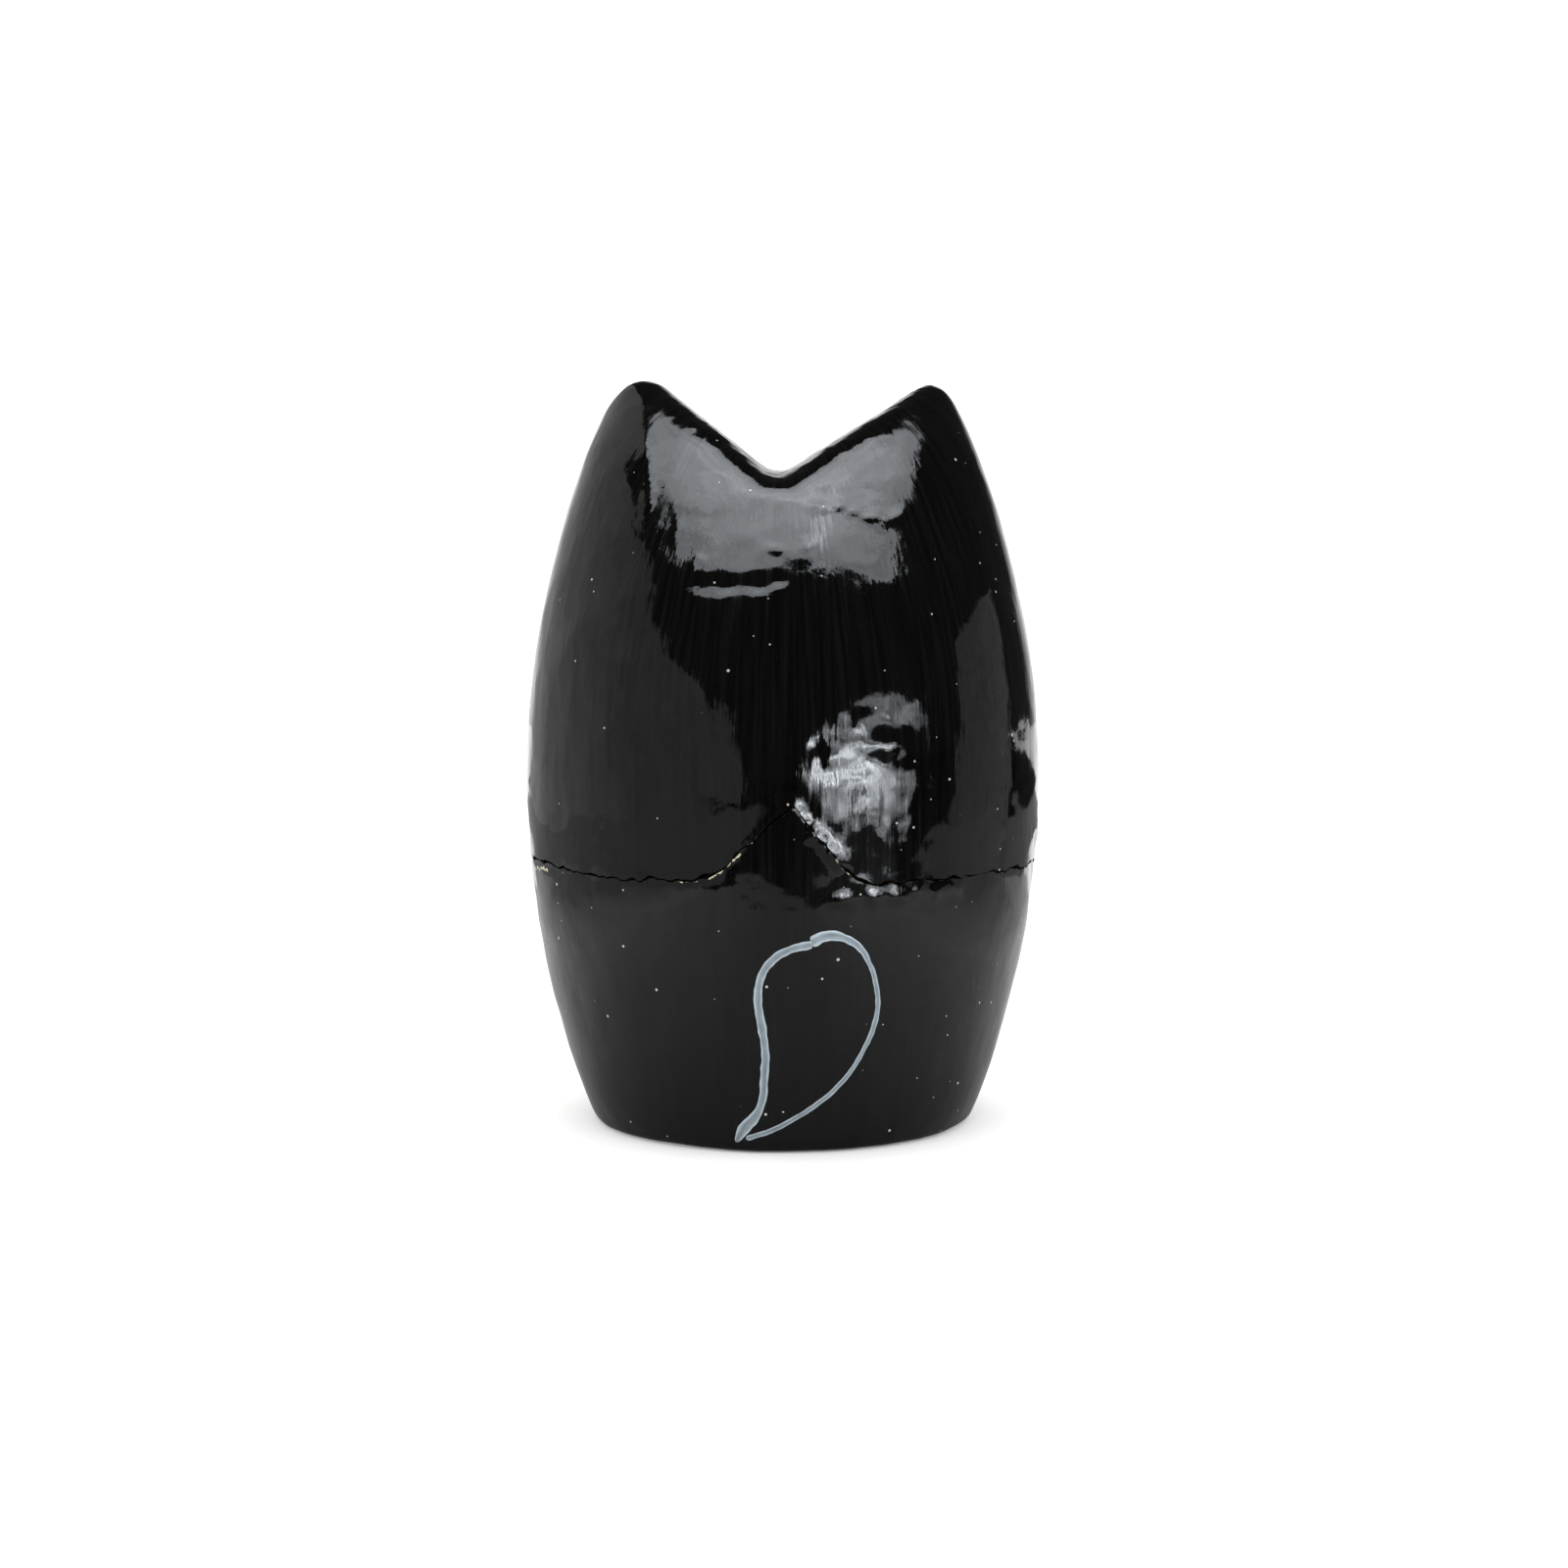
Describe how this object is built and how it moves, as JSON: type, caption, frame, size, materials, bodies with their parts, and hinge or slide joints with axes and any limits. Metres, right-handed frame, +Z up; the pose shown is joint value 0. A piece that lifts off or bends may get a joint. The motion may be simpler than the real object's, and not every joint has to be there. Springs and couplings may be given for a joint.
{
  "type": "two-part cat figurine",
  "caption": "Small hollow cat figurine that sits upright, in two lacquered shells: a lower body with a tab and collar, and a head that lifts off.",
  "frame": {"origin": "middle of the flat foot, on the surface the figure stands on", "axes": "+Z up, -Y the way the cat faces, +X to the cat's left; the tail is on the +Y side"},
  "size_m": [0.0558, 0.0546, 0.08],
  "materials": {
    "black_lacquer": "gloss",
    "raw_board": "matte",
    "white_paint": "satin"
  },
  "bodies": {
    "body": {"body_shell": "black_lacquer", "locating_collar": "raw_board", "tail_outline": "white_paint", "left_paw_outline": "white_paint", "right_paw_outline": "white_paint"},
    "head": {"head_shell": "black_lacquer", "left_eye_outline": "white_paint", "right_eye_outline": "white_paint", "left_pupil": "white_paint", "right_pupil": "white_paint", "left_whiskers": "white_paint", "right_whiskers": "white_paint", "left_inner_ear": "white_paint", "right_inner_ear": "white_paint", "nose": "white_paint", "mouth": "white_paint"}
  },
  "joints": [
    {"name": "head_lift", "type": "slide", "parent": "body", "child": "head", "axis": [0, 0, 1], "range_m": [0, 0.06]}
  ]
}
